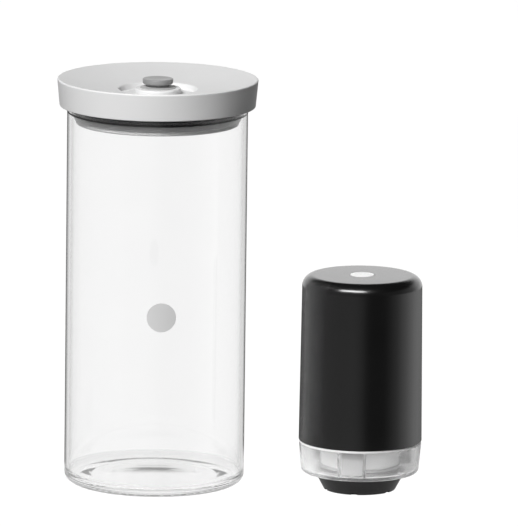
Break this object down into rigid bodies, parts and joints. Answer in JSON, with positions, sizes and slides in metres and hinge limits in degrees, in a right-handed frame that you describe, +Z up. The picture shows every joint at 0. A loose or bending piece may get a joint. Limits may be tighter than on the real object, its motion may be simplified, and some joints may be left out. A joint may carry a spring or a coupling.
{
  "type": "vacuum seal canister",
  "caption": "Tall clear jar with a push-in sealing lid, release valve and pump groove, and a rechargeable suction pump that stands beside it.",
  "frame": {"origin": "middle of the jar's foot, on the surface that the jar stands on", "axes": "+Z up along the jar's axis, +X from the jar towards the pump that stands beside it, -Y towards the front, where the plain round mark is"},
  "size_m": [0.1979, 0.1078, 0.2201],
  "materials": {
    "clear_glass": "polished",
    "white_plastic": "fine satin",
    "grey_plastic": "fine satin",
    "light_plastic": "satin",
    "light_button": "smooth",
    "black_plastic": "soft satin",
    "dark_plastic": "satin",
    "clear_plastic": "polished",
    "black_silicone": "matt",
    "grey_silicone": "matt",
    "cup_silicone": "matt",
    "clear_silicone": "translucent",
    "filter_felt": "felt",
    "steel": "plain",
    "copper": "bare",
    "magnet": "sintered",
    "board_green": "solder mask",
    "cell_wrap": "shrink sleeve"
  },
  "bodies": {
    "jar": {"glass_jar": "clear_glass"},
    "lid": {"lid_shell": "white_plastic", "lid_plug": "grey_plastic", "plug_cover": "white_plastic", "air_filter": "filter_felt", "rim_gasket": "black_silicone", "tube_seal": "black_silicone", "lid_screws": "steel"},
    "release_valve": {"valve_disc": "grey_silicone", "valve_stem": "grey_plastic", "valve_clip": "steel", "valve_knob": "grey_plastic"},
    "pump": {"pump_shell": "black_plastic", "switch_body": "dark_plastic", "control_board": "board_green", "board_chips": "dark_plastic", "charge_port": "steel", "board_screws": "steel", "inner_frame": "light_plastic", "shell_seal": "black_silicone", "battery_cell": "cell_wrap", "motor_can": "steel", "motor_cap": "light_plastic", "motor_terminals": "copper", "motor_magnets": "magnet", "wobble_plate": "dark_plastic", "pump_bracket": "dark_plastic", "motor_screws": "steel", "diaphragm": "black_silicone", "valve_plate": "dark_plastic", "check_flaps": "black_silicone", "pump_head": "dark_plastic", "pump_screws": "steel", "inlet_tube": "clear_silicone", "clear_base": "clear_plastic", "cup_retainer": "grey_plastic", "suction_cup": "cup_silicone", "inlet_filter": "filter_felt"},
    "button": {"power_button": "light_button", "switch_plunger": "light_plastic"},
    "motor_drive": {"motor_shaft": "steel", "motor_rotor": "copper", "drive_hub": "light_plastic"}
  },
  "joints": [
    {"name": "lid_lift", "type": "slide", "parent": "jar", "child": "lid", "axis": [0, 0, 1], "range_m": [0, 0.12]},
    {"name": "valve_lift", "type": "slide", "parent": "lid", "child": "release_valve", "axis": [0, 0, 1], "range_m": [0, 0.002], "stiffness_N_per_m": 150},
    {"name": "pump_lift", "type": "slide", "parent": "jar", "child": "pump", "axis": [0, 0, 1], "range_m": [0, 0.25]},
    {"name": "button_press", "type": "slide", "parent": "pump", "child": "button", "axis": [0, 0, -1], "range_m": [0, 0.0007], "stiffness_N_per_m": 800, "springref_m": -0.0005},
    {"name": "motor_spin", "type": "hinge", "parent": "pump", "child": "motor_drive", "pos_m": [0.1003, -0.0137, 0.06], "axis": [0, 0, 1], "continuous": true}
  ]
}
